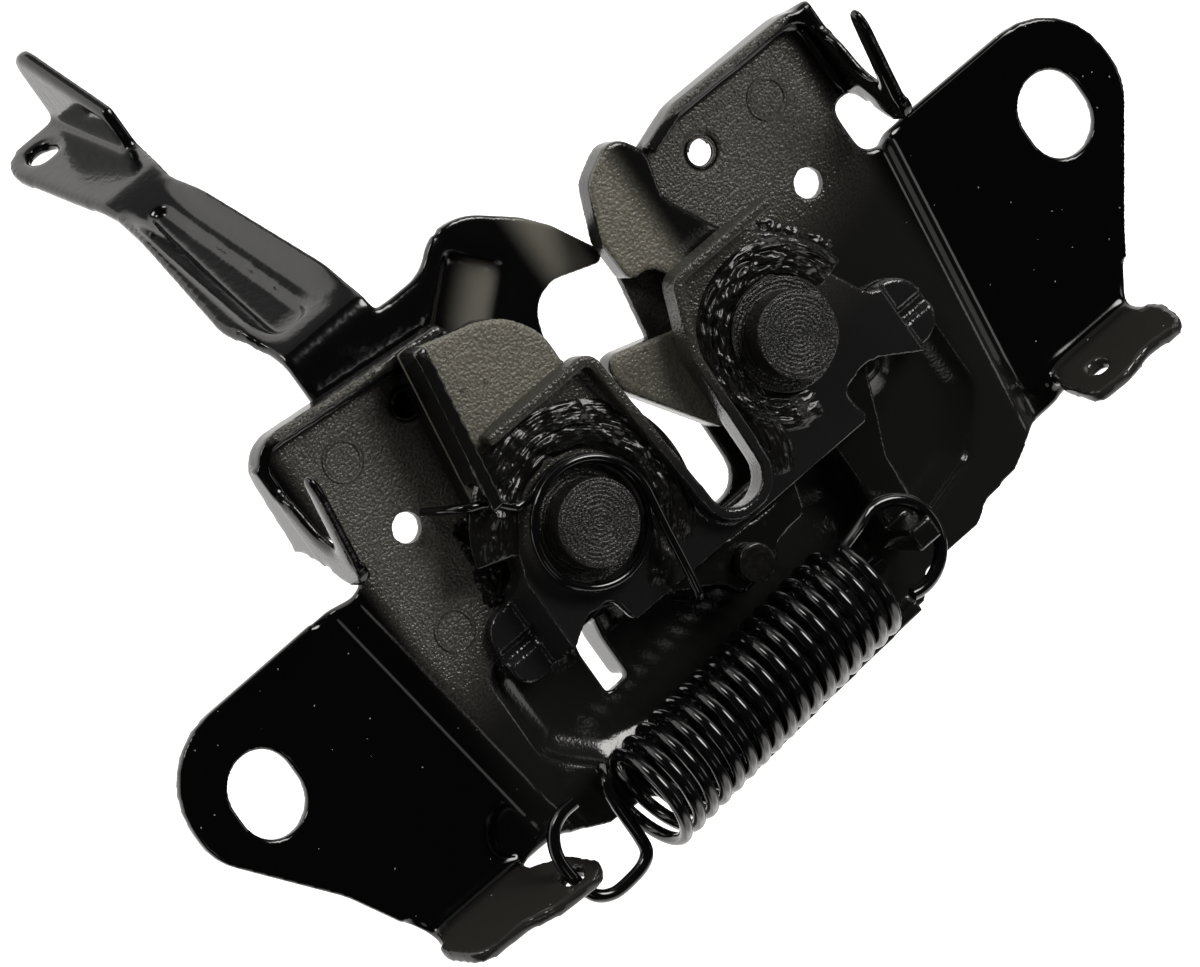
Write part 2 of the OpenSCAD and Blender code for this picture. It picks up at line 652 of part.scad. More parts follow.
module catch_rear_washer() { color("#3a3a3a") shim(catch_c, mid_front); }
module catch_front_washer() { color("#3a3a3a") shim(catch_c, cover_rear + shim_t); }
module pawl_rear_washer() { color("#3a3a3a") shim(pawl_c, mid_front); }
module pawl_front_washer() { color("#3a3a3a") shim(pawl_c, cover_rear + shim_t); }
module catch_head_washer() { color("#2a2a2a") shim(catch_c, cover_front); }
module pawl_spring_collar() { color("#2a2a2a") shim(pawl_c, cover_front); }
module safety_front_washer() { color("#3a3a3a") shim(pawl_c, mid_rear + shim_t); }
module safety_rear_washer() { color("#3a3a3a") shim(pawl_c, safety_rear + side_gap + shim_t); }

module safety_spring_collar() {
    rear = collar_rear;
    front = safety_rear + side_gap + shim_t;
    color("#2a2a2a")
        difference() {
            round_bar(pawl_c, shank_d + 3, rear, front);
            round_bar(pawl_c, shank_d + 2 * seat_gap, rear + 1, front - 1);
        }
}

// A point of the main spring: s along the coil, then forward of its plane, then up across it
function coil_point(s, forward, up) =
    let (p = coil_start + s * coil_dir + up * coil_up)
    [p[0], spring_y - forward, p[1]];
steps = 10;
// The hook at the anchor, as shares of its length and of the coil's radius
anchor_hook = [[0.49, 0.98], [0.67, 0.98], [0.84, 0.84], [0.96, 0.52], [1, 0.1], [0.98, -0.4], [0.91, -0.72],
    [0.76, -0.9], [0.55, -0.93], [0.36, -0.89], [0.24, -0.74], [0.2, -0.45], [0.18, 0], [0.16, 0.42],
    [0.12, 0.78]];
main_path = concat(
    [for (q = anchor_hook) coil_point(-anchor_step * q[0], -anchor_back * q[0], main_r * q[1])],
    [for (i = [0:steps * main_turns])
        let (a = 90 + 360 * i / steps)
        coil_point(coil_len * i / (steps * main_turns), main_r * cos(a), main_r * sin(a))],
    [for (a = [105:-24:-111]) coil_point(coil_len + hook_step + loop_r * cos(a), 0, loop_r * sin(a))]);

module main_spring() { color("#0e0e0e") wire(main_path, main_wire, [0, 1, 0]); }

// A torsion spring round a pivot: a leg, a helix between two depths, then the other leg
function twist(c, r, from, to, angles, legs) = concat(
    legs[0],
    [for (i = [0:steps * 2])
        let (f = i / (steps * 2), p = polar(c, r, angles[0] + (angles[1] - angles[0]) * f))
        [p[0], from + (to - from) * f, p[1]]],
    legs[1]);

pawl_coil_r = shim_d / 2 + wire_gap + twist_wire / 2;
pawl_coil_y = cover_front - wire_gap - twist_wire / 2;
pawl_leg = [[-plain_pitch / 2 + 2.5, mid_front - twist_wire, plain_z + 0.6],
    [-34, lever_front - 1, plain_z - 0.2],
    [-32.2, pawl_coil_y, plain_z - 1.2],
    [-29, pawl_coil_y, plain_z - 3]];
pawl_push = [[-12.8, pawl_coil_y - 2 * twist_wire, -12],
    [-13.2, pawl_coil_y - 1, -15.2],
    [-13.4, lever_rear - 1, -15.4]];

module pawl_spring() {
    end_y = pawl_coil_y - 2 * (twist_wire + wire_gap);
    color("#0e0e0e")
        wire(twist(pawl_c, pawl_coil_r, pawl_coil_y, end_y, [130, -380], [pawl_leg, pawl_push]),
            twist_wire, [0, 1, 0]);
}

safety_coil_r = shank_d / 2 + 1.5 + wire_gap + twist_wire / 2;
safety_coil_y = safety_rear + side_gap + shim_t + wire_gap / 2 + twist_wire / 2;
stop_x = window[0] + window[2] + base_t;
safety_anchor = [[stop_x + wire_gap + twist_wire / 2, safety_coil_y + twist_wire, -15],
    [stop_x + 1.2, safety_coil_y + twist_wire, -8]];
safety_push = [[-27, safety_coil_y, 12],
    [-31.4, safety_coil_y, 15],
    [-33.2, safety_coil_y - twist_wire, 17.6],
    [-33.6, safety_front, 18]];

module safety_spring() {
    start_y = safety_coil_y + twist_wire;
    color("#0e0e0e")
        wire(twist(pawl_c, safety_coil_r, start_y, safety_coil_y, [200, 520], [safety_anchor, safety_push]),
            twist_wire, [0, 1, 0]);
}

base_plate();
front_plate();
catch_lever();
pawl_lever();
pawl_stud();
safety_lever();
catch_rivet();
pawl_rivet();
catch_rear_washer();
catch_front_washer();
pawl_rear_washer();
pawl_front_washer();
catch_head_washer();
pawl_spring_collar();
safety_front_washer();
safety_rear_washer();
safety_spring_collar();
main_spring();
pawl_spring();
safety_spring();
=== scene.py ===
# %% [markdown]
# # A bonnet latch
# The stamped parts come in from the frame as plain solids. This lesson gives them rolled bends,
# eased edges, round wire, grease and a dipped black paint, and photographs them in a white tent.
# Lengths are written in millimetres and turned into metres with `mm`, because Blender counts in metres.

# %% Load the frame
import math

import bmesh
import bpy
from mathutils import Matrix, Vector, noise


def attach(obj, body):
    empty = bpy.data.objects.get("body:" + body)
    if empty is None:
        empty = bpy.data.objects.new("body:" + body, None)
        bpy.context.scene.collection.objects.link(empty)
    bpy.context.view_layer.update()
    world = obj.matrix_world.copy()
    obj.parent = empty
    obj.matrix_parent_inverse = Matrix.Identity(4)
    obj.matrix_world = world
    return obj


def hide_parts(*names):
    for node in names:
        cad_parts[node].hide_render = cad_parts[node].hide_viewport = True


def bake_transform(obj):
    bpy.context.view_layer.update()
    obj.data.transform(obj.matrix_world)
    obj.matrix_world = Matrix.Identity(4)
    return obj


mm = 0.001
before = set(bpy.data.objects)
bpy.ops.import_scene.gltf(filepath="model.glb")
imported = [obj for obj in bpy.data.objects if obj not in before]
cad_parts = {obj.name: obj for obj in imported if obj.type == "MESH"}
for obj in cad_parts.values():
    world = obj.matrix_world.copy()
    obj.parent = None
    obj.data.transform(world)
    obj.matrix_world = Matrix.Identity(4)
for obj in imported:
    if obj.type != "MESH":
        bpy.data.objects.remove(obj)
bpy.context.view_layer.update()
bpy.ops.object.select_all(action="DESELECT")

# %% [markdown]
# ## The camera
# The latch lies rolled in the picture, so the camera is turned with it. Its three axes were found from the
# two mounting slots and the two rivets: the picture's right, its up, and the way back to the lens.
# A long lens two metres away keeps the two ears nearly the same size.

# %% Place the camera
PICTURE_W, PICTURE_H = 1200, 967
PIXELS_PER_MM = 7.37
LENS_DISTANCE = 2000 * mm
SENSOR = 36
picture_right = Vector((0.714, -0.423, -0.558)).normalized()
to_lens = Vector((-0.333, -0.906, 0.260))
to_lens = (to_lens - to_lens.dot(picture_right) * picture_right).normalized()
picture_up = to_lens.cross(picture_right)
origin_in_picture = (662, 450)

aside = (origin_in_picture[0] - PICTURE_W / 2) / PIXELS_PER_MM * mm
above = (PICTURE_H / 2 - origin_in_picture[1]) / PIXELS_PER_MM * mm
bpy.ops.object.camera_add()
camera = bpy.context.object
turn = Matrix((picture_right, picture_up, to_lens)).transposed().to_4x4()
stand = to_lens * LENS_DISTANCE - picture_right * aside - picture_up * above
camera.matrix_world = Matrix.Translation(stand) @ turn
camera.data.sensor_width = SENSOR
camera.data.lens = SENSOR * LENS_DISTANCE / (PICTURE_W / PIXELS_PER_MM * mm)
camera.data.clip_start, camera.data.clip_end = 0.1, 20
bpy.context.scene.camera = camera
print("lens:", round(camera.data.lens), "mm")

# %% [markdown]
# ## Shader sums
# A finish is a small sum of textures. `Value` wraps one socket so that the sum can be written as one, and
# `Nodes.node` adds any other node: its settings first, then what goes into its sockets.

# %% A class for shader sums
class Value:
    def __init__(self, nodes, socket):
        self.nodes, self.socket = nodes, socket

    def sum(self, operation, left, right):
        return self.nodes.node("ShaderNodeMath", {"operation": operation}, {0: left, 1: right})

    def __add__(self, other): return self.sum("ADD", self, other)
    def __radd__(self, other): return self.sum("ADD", other, self)
    def __sub__(self, other): return self.sum("SUBTRACT", self, other)
    def __rsub__(self, other): return self.sum("SUBTRACT", other, self)
    def __mul__(self, other): return self.sum("MULTIPLY", self, other)
    def __rmul__(self, other): return self.sum("MULTIPLY", other, self)
    def __truediv__(self, other): return self.sum("DIVIDE", self, other)
    def __pow__(self, other): return self.sum("POWER", self, other)
    def __lt__(self, other): return self.sum("LESS_THAN", self, other)
    def __gt__(self, other): return self.sum("GREATER_THAN", self, other)


class Nodes:
    def __init__(self, tree):
        self.tree = tree

    def node(self, kind, settings=None, inputs=None, output=0):
        made = self.tree.nodes.new(kind)
        for key, value in (settings or {}).items():
            setattr(made, key, value)
        for key, value in (inputs or {}).items():
            if isinstance(value, Value):
                self.tree.links.new(value.socket, made.inputs[key])
            else:
                made.inputs[key].default_value = value
        return Value(self, made.outputs[output])

    def smooth(self, value, low, high):
        return self.node("ShaderNodeMapRange", {"interpolation_type": "SMOOTHSTEP"},
                         {"Value": value, "From Min": low, "From Max": high})

    def mix(self, factor, first, second):
        return self.node("ShaderNodeMix", {"data_type": "RGBA"}, {0: factor, 6: first, 7: second}, output=2)


print("shader sums ready")

# %% [markdown]
# ## What every finish shares
# A finish starts from the Principled shader and from the piece's own place in the frame, so a pattern stays
# where it is when the part moves. The orange skin of dipped paint is a fine noise read as a bump, and dust is the
# small hearts of a Voronoi texture's cells.

# %% A class for finishes
class Finish(Nodes):
    def __init__(self, name):
        self.material = bpy.data.materials.new(name)
        self.material.use_nodes = True
        super().__init__(self.material.node_tree)
        self.shader = self.tree.nodes["Principled BSDF"]
        self.place = self.node("ShaderNodeTexCoord", output="Object")
        axes = self.tree.nodes.new("ShaderNodeSeparateXYZ")
        self.tree.links.new(self.place.socket, axes.inputs[0])
        self.x, self.y, self.z = (Value(self, out) / mm for out in axes.outputs)

    def set(self, **sockets):
        for key, value in sockets.items():
            socket = self.shader.inputs[key.replace("_", " ")]
            if isinstance(value, Value):
                self.tree.links.new(value.socket, socket)
            else:
                socket.default_value = value

    def noise(self, size, detail=2, rough=0.5, vector=None):
        return self.node("ShaderNodeTexNoise", {}, {"Vector": vector or self.place, "Scale": 1 / (size * mm),
                                                    "Detail": detail, "Roughness": rough})

    def specks(self, spacing, size):
        dust = self.node("ShaderNodeTexVoronoi", {}, {"Vector": self.place, "Scale": 1 / (spacing * mm)})
        return dust < size / spacing

    def bump(self, height, depth):
        return self.node("ShaderNodeBump", {}, {"Height": height, "Strength": 1, "Distance": depth * mm})

    def around(self, x, z):
        """Distance in millimetres from a pivot, seen from the front."""
        return ((self.x - x) ** 2 + (self.z - z) ** 2) ** 0.5


def paint(piece, finish):
    piece.data.materials.clear()
    piece.data.materials.append(finish.material)


print("finishes ready")

# %% [markdown]
# ## Working by hand, in code
# Every operator acts on what is selected, so these helpers clear the selection, open one piece, and pick
# its corners by their place. A frame's solid is never changed itself: a copy is welded, worked on, and then
# stands in for it.

# %% Helpers for opening a piece
def only(piece):
    bpy.ops.object.select_all(action="DESELECT")
    piece.select_set(True)
    bpy.context.view_layer.objects.active = piece


def opened(piece, kind="EDGE"):
    only(piece)
    bpy.ops.object.mode_set(mode="EDIT")
    bpy.ops.mesh.select_mode(type=kind)
    bpy.ops.mesh.select_all(action="DESELECT")
    return bmesh.from_edit_mesh(piece.data)


def closed():
    bpy.ops.object.mode_set(mode="OBJECT")


def solid_copy(node, name):
    piece = bpy.data.objects.new(name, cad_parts[node].data.copy())
    bpy.context.collection.objects.link(piece)
    opened(piece)
    bpy.ops.mesh.select_all(action="SELECT")
    bpy.ops.mesh.remove_doubles(threshold=0.01 * mm)
    bpy.ops.mesh.customdata_custom_splitnormals_clear()
    closed()
    return piece


def seat(piece, body, slot, *nodes):
    """Let the piece move with a body, and let it stand for the frame's solids `nodes`. `slot` is not used."""
    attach(piece, body)
    if nodes:
        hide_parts(*nodes)


print("pieces can be opened and seated")

# %% [markdown]
# ## Rounding a stamping
# Stamped sheet has no sharp edge: the press rolls it over and the paint fills it in. A Bevel modifier trips over the
# many-sided faces of such plates. So the copy is cut into even small squares with a voxel Remesh and relaxed with
# Smooth, which rounds every edge and inner corner alike. Bends are then relaxed further, picked by their place.

# %% Helpers for rounding
def shaped(piece, kind, **settings):
    """Add a modifier with its settings, and apply it."""
    only(piece)
    modifier = piece.modifiers.new(kind.lower(), kind)
    for key, value in settings.items():
        setattr(modifier, key, value)
    bpy.ops.object.modifier_apply(modifier=modifier.name)


def relax(piece, cell, rounds):
    shaped(piece, "REMESH", mode="VOXEL", voxel_size=cell * mm)
    shaped(piece, "SMOOTH", factor=0.5, iterations=rounds)


def soften(piece, rounds, where):
    """Relax the corners that pass the test `where`, given in millimetres, for more rounds."""
    picked = 0
    for corner in opened(piece, "VERT").verts:
        if where(corner.co / mm):
            corner.select_set(True)
            picked += 1
    bmesh.update_edit_mesh(piece.data)
    if picked:
        bpy.ops.mesh.vertices_smooth(factor=0.5, repeat=rounds)
    closed()


def slim(piece, most=90000):
    """Thin the squares out to at most `most` triangles, and shade the piece smooth."""
    triangles = sum(len(face.vertices) - 2 for face in piece.data.polygons)
    if triangles > most:
        shaped(piece, "DECIMATE", ratio=most / triangles)
    only(piece)
    bpy.ops.object.shade_smooth()
    print(piece.name, "triangles:", triangles, "thinned to", len(piece.data.polygons))


def pull(piece, shift):
    """Move every corner by what `shift` gives for its place, both in millimetres."""
    for corner in opened(piece, "VERT").verts:
        corner.co += shift(corner.co / mm) * mm
    bmesh.update_edit_mesh(piece.data)
    closed()


def fade(value, low, high):
    """0 below `low`, 1 above `high`, and an S-curve between them."""
    part = min(max((value - low) / (high - low), 0), 1)
    return part * part * (3 - 2 * part)


print("pieces can be rounded")

# %% [markdown]
# ## The base stamping
# One sheet, pressed and folded. The rim, the two steps down to the ears and the drawn pocket have wider bends
# than the cut edges, so they are relaxed longer. The pocket's floor is first pressed deeper with soft shoulders:
# each corner inside its outline is pulled back, the more the further it lies from the outline.

# %% Relax the base
MID_REAR, MID_FRONT = -3, -4.8
PRESS_DEPTH, PRESS_RUN = 1.4, 4
base = solid_copy("base_plate", "base_stamping")
relax(base, cell=0.4, rounds=4)


def bends(p):
    side = abs(p.x)
    rim = p.y > -6 and (p.z > 34.5 and 20 < side < 52 or 49.5 < side < 54 and p.z > 24)
    step = 42 < side < 56 and -5.2 < p.y < 0.4 and p.z < 23
    return rim or step


def pocket_wall(p):
    return -5 < p.y < -1.5 and 22 < abs(p.x) < 43 and -31 < p.z < -5 and not (p.x < 0 and p.x > -29)


def tab_root(p):
    """Where a lower tab is folded off its ear."""
    right = p.x > 50 and -29.5 < p.z < -22
    left = p.x < -44 and -33 < p.z < -26
    return -5 < p.y < 0.5 and (left or right)


def cable_hooks(p):
    return p.y < -8.2 and p.z > 20


POCKET_HALF = [(23, -30.5), (34, -28), (41, -20.5), (41, -6), (34, -6), (30.5, -10.3)]
pocket = [Vector(c) for c in POCKET_HALF] + [Vector((-x, z)) for x, z in reversed(POCKET_HALF)]


def press(p):
    """How far the pocket's floor is pulled back at a place: find if it is inside the outline, and how deep."""
    if not (-5 < p.y < 3.2 and abs(p.x) < 41 and -30.5 < p.z < -6):
        return Vector()
    here, inside, nearest = Vector((p.x, p.z)), False, 99
    for a, b in zip(pocket, pocket[1:] + pocket[:1]):
        if (a.y > here.y) != (b.y > here.y) and here.x < a.x + (b.x - a.x) * (here.y - a.y) / (b.y - a.y):
            inside = not inside
        part = min(max((here - a).dot(b - a) / (b - a).length_squared, 0), 1)
        nearest = min(nearest, (a + (b - a) * part - here).length)
    return Vector((0, PRESS_DEPTH * fade(nearest, 0, PRESS_RUN) if inside else 0, 0))


pull(base, press)
soften(base, rounds=16, where=bends)
soften(base, rounds=14, where=pocket_wall)
soften(base, rounds=40, where=tab_root)
soften(base, rounds=30, where=cable_hooks)
slim(base, most=170000)
seat(base, "frame", "black_paint", "base_plate")

# %% [markdown]
# ## The front plate
# The bridge over the levers. The lip round its fishmouth is drawn forward, so its root is a bend too, and each
# foot steps down through two more.

# %% Relax the front plate
COVER_FRONT = -11.9
cover = solid_copy("front_plate", "front_bridge")
relax(cover, cell=0.36, rounds=3)
soften(cover, rounds=8, where=lambda p: -13 < p.y < -9 and abs(p.x) < 24 and p.z > -11)
slim(cover)
seat(cover, "frame", "black_paint", "front_plate")

# %% [markdown]
# ## The catch and the pawl
# Thick blanks, punched out of plate. Punching rolls the edge over on one side, and the paint rounds the other.

# %% Relax the levers
catch = solid_copy("catch_lever", "catch_blank")
pawl = solid_copy("pawl_lever", "pawl_blank")
for piece, body, node in ((catch, "catch", "catch_lever"), (pawl, "pawl", "pawl_lever")):
    relax(piece, cell=0.36, rounds=3)
    slim(piece, most=60000)
    seat(piece, body, "black_paint", node)

# %% [markdown]
# ## The safety lever
# Hook, ramp, handle and paddle are one strip. A shallow channel is pressed into the hook to stiffen it: a punch
# with sloped sides adds the bulge behind, and the same punch set further forward cuts the channel. Boolean modifiers
# do both, before the strip is relaxed.

# %% Press and relax the safety lever
SAFETY_FRONT, SAFETY_REAR = -2.45, -0.45
CHANNEL_DEPTH, CHANNEL_W, CHANNEL_L = 1.9, 10.4, 19
WALL_RUN, END_RUN, OVERLAP = 1.9, 1.4, 0.3
channel_top, channel_way = Vector((-6.5, 0, 38.6)), Vector((-0.755, 0, -0.656))
channel_across = Vector((channel_way.z, 0, -channel_way.x))
safety = solid_copy("safety_lever", "safety_strip")


def punch(front, depth):
    """A box with sloped sides, its open side at the level `front`."""
    bpy.ops.object.select_all(action="DESELECT")
    bpy.ops.mesh.primitive_cube_add(size=1)
    box = bpy.context.object
    mesh = opened(box, "VERT")
    for corner in mesh.verts:
        deep = corner.co.y > 0
        half = (CHANNEL_W / 2 - WALL_RUN * deep) * (1 if corner.co.x > 0 else -1)
        end = CHANNEL_L if corner.co.z < 0 else END_RUN * deep
        level = Vector((0, front + depth * deep, 0))
        corner.co = (channel_top + channel_across * half + channel_way * end + level) * mm
    bmesh.update_edit_mesh(box.data)
    bpy.ops.mesh.select_all(action="SELECT")
    bpy.ops.mesh.normals_make_consistent(inside=False)
    closed()
    return box


def in_channel(p):
    place = p - channel_top
    return p.y < 2 and abs(place.dot(channel_across)) < 6.4 and -2 < place.dot(channel_way) < CHANNEL_L


for operation, front in (("UNION", SAFETY_REAR - OVERLAP), ("DIFFERENCE", SAFETY_FRONT - OVERLAP)):
    tool = punch(front, CHANNEL_DEPTH + OVERLAP)
    shaped(safety, "BOOLEAN", operation=operation, object=tool, solver="EXACT")
    bpy.data.objects.remove(tool)
relax(safety, cell=0.38, rounds=4)
soften(safety, rounds=10, where=lambda p: p.z > 36.5 and p.x < -10)
soften(safety, rounds=36, where=in_channel)

# %% [markdown]
# The ramp that climbs to the handle has its two long edges turned up, which keeps it from bending under a finger.
# Each corner on it is pulled along the ramp's own normal: up at the edges, and a little down in the middle.

# %% Turn up the ramp
FOLD_Z, RAMP_TILT, RAMP_LEN = 44.5, math.radians(30), 45
EDGE_RISE, MIDDLE_SINK = 2.6, 0.7


def flange(p):
    up_ramp = (p.y - SAFETY_FRONT) * math.cos(RAMP_TILT) + (p.z - FOLD_Z) * math.sin(RAMP_TILT)
    part = up_ramp / RAMP_LEN
    middle, half = -30.9 + 3.4 * part, 8.3 - 3.3 * part
    rise = EDGE_RISE * fade(abs(p.x - middle) / half, 0.4, 1) - MIDDLE_SINK
    rise *= fade(up_ramp, 1, 9) * (1 - fade(up_ramp, 32, 44))
    return Vector((0, -math.sin(RAMP_TILT), math.cos(RAMP_TILT))) * rise


pull(safety, flange)
slim(safety)
seat(safety, "safety", "black_paint", "safety_lever")

# %% [markdown]
# ## Wire
# Each spring is a round wire along a path: a hook or leg, a helix, and another hook or leg. Sweeping a circle by hand
# would do for one bend, but not for seventeen turns. So the path's points are worked out, closer together than those
# of the frame's solids, and a curve with a round bevel is turned into a mesh.

# %% Bend the wire
def curved(points, parts=8):
    """A smooth run through the given points."""
    points = [Vector(p) for p in points]
    ends = [2 * points[0] - points[1], *points, 2 * points[-1] - points[-2]]
    run = []
    for a, b, c, d in zip(ends, ends[1:], ends[2:], ends[3:]):
        for step in range(parts):
            t = step / parts
            run.append(0.5 * (2 * b + (c - a) * t + (2 * a - 5 * b + 4 * c - d) * t ** 2
                              + (3 * b - a - 3 * c + d) * t ** 3))
    return [*run, points[-1]]


def wire(name, path, diameter):
    bpy.ops.object.select_all(action="DESELECT")
    bpy.ops.curve.primitive_nurbs_path_add()
    piece = bpy.context.object
    piece.name = name
    shape = piece.data
    shape.splines.clear()
    run = shape.splines.new("POLY")
    run.points.add(len(path) - 1)
    for point, place in zip(run.points, path):
        point.co = (*(Vector(place) * mm), 1)
    shape.dimensions = "3D"
    shape.bevel_depth = diameter / 2 * mm
    shape.bevel_resolution = 4
    shape.use_fill_caps = True
    bpy.ops.object.convert(target="MESH")
    bpy.ops.object.shade_smooth_by_angle(angle=math.radians(50))
    print(name, "points:", len(path), "faces:", len(piece.data.polygons))
    return piece


def helix(count, place):
    return [place(i / count) for i in range(count + 1)]


print("wire can be bent")

# %% [markdown]
# ## The main spring
# A pull spring: an open hook in the base's anchor, seventeen turns, and a closed loop on the catch's arm. It opens
# the catch.

# %% Bend the main spring
MAIN_WIRE, MAIN_R, SPRING_Y, TURNS, STEPS = 1.9, 7.05, -12.9, 17, 44
coil_start, coil_end = Vector((-37, 0, -32.1)), Vector((7.5, 0, -29))
coil_len = (coil_end - coil_start).length
along = (coil_end - coil_start).normalized()
across = Vector((-along.z, 0, along.x))


def coil_point(s, forward, up):
    return coil_start + s * along + up * across + Vector((0, SPRING_Y - forward, 0))


HOOK_LEN, HOOK_BACK = 13.4, 1.1
anchor_hook = [(0.49, 0.98), (0.67, 0.98), (0.84, 0.84), (0.96, 0.52), (1, 0.1), (0.98, -0.4), (0.91, -0.72),
               (0.76, -0.9), (0.55, -0.93), (0.36, -0.89), (0.24, -0.74), (0.2, -0.45), (0.18, 0), (0.16, 0.42),
               (0.12, 0.78)]
first = [coil_point(-HOOK_LEN * s, -HOOK_BACK * s, MAIN_R * up) for s, up in anchor_hook]
coil = helix(STEPS * TURNS, lambda f: coil_point(
    coil_len * f, MAIN_R * math.cos(math.radians(90 + 360 * TURNS * f)),
    MAIN_R * math.sin(math.radians(90 + 360 * TURNS * f))))
LOOP_R = MAIN_R - 0.4
loop_middle = coil_len + LOOP_R + 0.6
last = [coil_point(loop_middle + LOOP_R * math.cos(math.radians(a)), 0, LOOP_R * math.sin(math.radians(a)))
        for a in range(105, -112, -8)]
main_path = curved([*first, coil[0]])[:-6] + coil[3:-3] + last[2:]
main_spring = wire("return_spring", main_path, MAIN_WIRE)
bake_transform(main_spring)
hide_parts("main_spring")

# %% [markdown]
# ## The torsion springs
# The pawl's spring and the safety lever's are a turn or so of thinner wire round the pivot they share. One leg leans
# on the base and the other on the lever.

# %% Bend the torsion springs
TWIST_WIRE = 1.3


def torsion(name, centre, radius, depths, angles, first_leg, last_leg):
    def place(f):
        a = math.radians(angles[0] + (angles[1] - angles[0]) * f)
        return Vector((centre[0] + radius * math.cos(a), depths[0] + (depths[1] - depths[0]) * f,
                       centre[1] + radius * math.sin(a)))

    turns = helix(90, place)
    path = curved([*first_leg, turns[0]], 10)[:-3] + turns[2:-2] + curved([turns[-1], *last_leg], 10)[3:]
    return wire(name, path, TWIST_WIRE)


PAWL_PIVOT, CATCH_PIVOT = (-19.5, 2.8), (19.5, 4.6)
pawl_spring = torsion("pawl_torsion_spring", PAWL_PIVOT, 8.8, (-12.7, -15.6), (130, -380),
                      [(-35.5, -6.1, 17), (-34, -10.35, 16.2), (-32.2, -12.7, 15.2), (-29, -12.7, 13.4)],
                      [(-12.8, -15.3, -12), (-13.2, -13.7, -15.2), (-13.4, -6.35, -15.4)])
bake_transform(pawl_spring)
safety_spring = torsion("safety_torsion_spring", PAWL_PIVOT, 6.3, (2.125, 0.825), (200, 520),
                        [(-20.9, 2.125, -15), (-20.5, 2.125, -8)],
                        [(-27, 0.825, 12), (-31.4, 0.825, 15), (-33.2, -0.475, 17.6), (-33.6, -2.45, 18)])
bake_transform(safety_spring)
for spring, node in ((pawl_spring, "pawl_spring"), (safety_spring, "safety_spring")):
    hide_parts(node)

# %% [markdown]
# ## Rivets, stud and shims
# The rivet heads are spun over in the press: a flat top with a small round rim, and a fine swirl.

# %% Relax the rivets
small = {}
for node, body, slot, rounds in (
        ("catch_rivet", "frame", "rivet_steel", 8), ("pawl_rivet", "frame", "rivet_steel", 8),
        ("pawl_stud", "pawl", "rivet_steel", 8), ("catch_head_washer", "frame", "shim_steel", 2),
        ("pawl_spring_collar", "frame", "shim_steel", 2), ("safety_spring_collar", "frame", "shim_steel", 2)):
    small[node] = solid_copy(node, node + "_eased")
    relax(small[node], cell=0.22, rounds=rounds)
    slim(small[node], most=24000)
    seat(small[node], body, slot, node)

# %% [markdown]
# ## Threads
# Two of the base's holes are tapped. A thread seen from above is a few turns of a ridge, so a thin wire on a
# helix is let half into each hole's wall.

# %% Cut the threads
TAPPED_R, TAPPED_X, TAPPED_Z = 2.1, 27.8, 29.5
THREAD_PITCH, THREAD_TURNS, RIDGE = 0.62, 2.4, 0.5
threads = []
for side, x in (("left", -TAPPED_X), ("right", TAPPED_X)):
    threads.append(wire("thread_" + side, helix(60, lambda f: Vector((
        x + TAPPED_R * math.cos(2 * math.pi * f * THREAD_TURNS),
        MID_REAR - 0.15 - THREAD_PITCH * THREAD_TURNS * f,
        TAPPED_Z + TAPPED_R * math.sin(2 * math.pi * f * THREAD_TURNS)))), RIDGE))
    seat(threads[-1], "frame", "black_paint")

# %% [markdown]
# ## Grease
# The pivots are packed with grease, laid on with a brush. Each smear is a fine grid pulled along a path, raised
# in streaks by a noise that is stretched along the brush's way, and closed underneath. Where the noise dips
# below the plate the plate shows through, so the smears end in clumps and drops and not in a clean outline.

# %% Smear the grease
smears = []


def smear(name, level, path, width, height, streak, sink=0.25, step=0.22):
    """Grease on the plane Y = level, along a path of (X, Z) points; streak is the length of a brush mark."""
    way = curved([(x, 0, z) for x, z in path], 12)
    length = sum((b - a).length for a, b in zip(way, way[1:]))
    bpy.ops.object.select_all(action="DESELECT")
    bpy.ops.mesh.primitive_grid_add(size=2, x_subdivisions=int(length / step), y_subdivisions=int(width / step))
    piece = bpy.context.object
    piece.name = name
    opened(piece, "FACE")
    bpy.ops.mesh.select_all(action="SELECT")
    bpy.ops.mesh.extrude_region_move()
    mesh = bmesh.from_edit_mesh(piece.data)
    seed = 17.3 * len(smears)
    for corner in mesh.verts:
        along_way, side = (corner.co.x + 1) / 2, corner.co.y
        spot_on_way = along_way * (len(way) - 1)
        index = min(int(spot_on_way), len(way) - 2)
        heading = (way[index + 1] - way[index]).normalized()
        middle = way[index].lerp(way[index + 1], spot_on_way - index)
        place = middle + Vector((-heading.z, 0, heading.x)) * (side * width / 2)
        mark = Vector((along_way * length / streak, side * width / 1.1, seed))
        lump = noise.noise(Vector((place.x / 2.2, place.z / 2.2, seed)))
        ridge = 1 - 2 * abs(noise.noise(mark))
        fine = noise.noise(Vector((along_way * length / min(streak, 1.2), side * width / 0.5, seed + 5)))
        edge = (1 - abs(side) ** 2.5) * min(1, along_way / 0.12, (1 - along_way) / 0.12) ** 0.6
        rise = height * edge * (0.45 + 0.5 * ridge + 0.4 * lump + 0.1 * fine) - sink * (1 - 0.6 * edge)
        corner.co = (place + Vector((0, level - max(rise, -0.3) if corner.select else level + 0.45, 0))) * mm
    bmesh.update_edit_mesh(piece.data)
    bpy.ops.mesh.select_all(action="SELECT")
    bpy.ops.mesh.normals_make_consistent(inside=False)
    closed()
    bpy.ops.object.shade_smooth()
    seat(piece, "frame", "black_paint")
    smears.append(piece)
    print(name, "faces:", len(piece.data.polygons))


